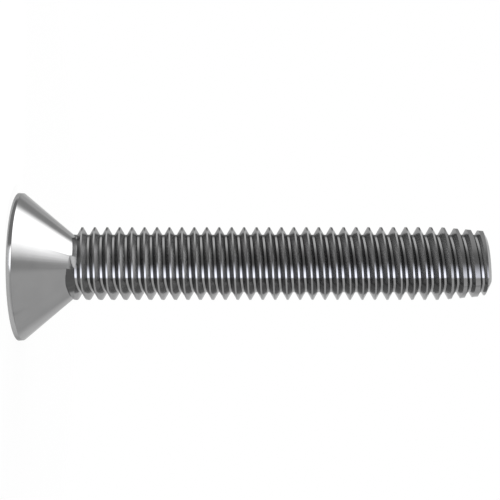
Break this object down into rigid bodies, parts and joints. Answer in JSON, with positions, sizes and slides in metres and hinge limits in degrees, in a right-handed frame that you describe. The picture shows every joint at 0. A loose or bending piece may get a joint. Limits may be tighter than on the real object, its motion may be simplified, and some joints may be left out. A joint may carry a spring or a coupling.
{
  "type": "countersunk thread-forming screw",
  "caption": "Countersunk steel screw with a flat head, a six-lobe drive socket and a lobed shank that forms its own thread in a drilled hole.",
  "frame": {"origin": "centre of the flat head face, which the screw stands on", "axes": "+Z along the screw's axis from the head face to the tip, -X towards one lobe of the shank"},
  "size_m": [0.0094, 0.0094, 0.03],
  "materials": {
    "steel": "bright polished bare steel"
  },
  "bodies": {
    "root": {"screw": "steel"}
  },
  "joints": []
}
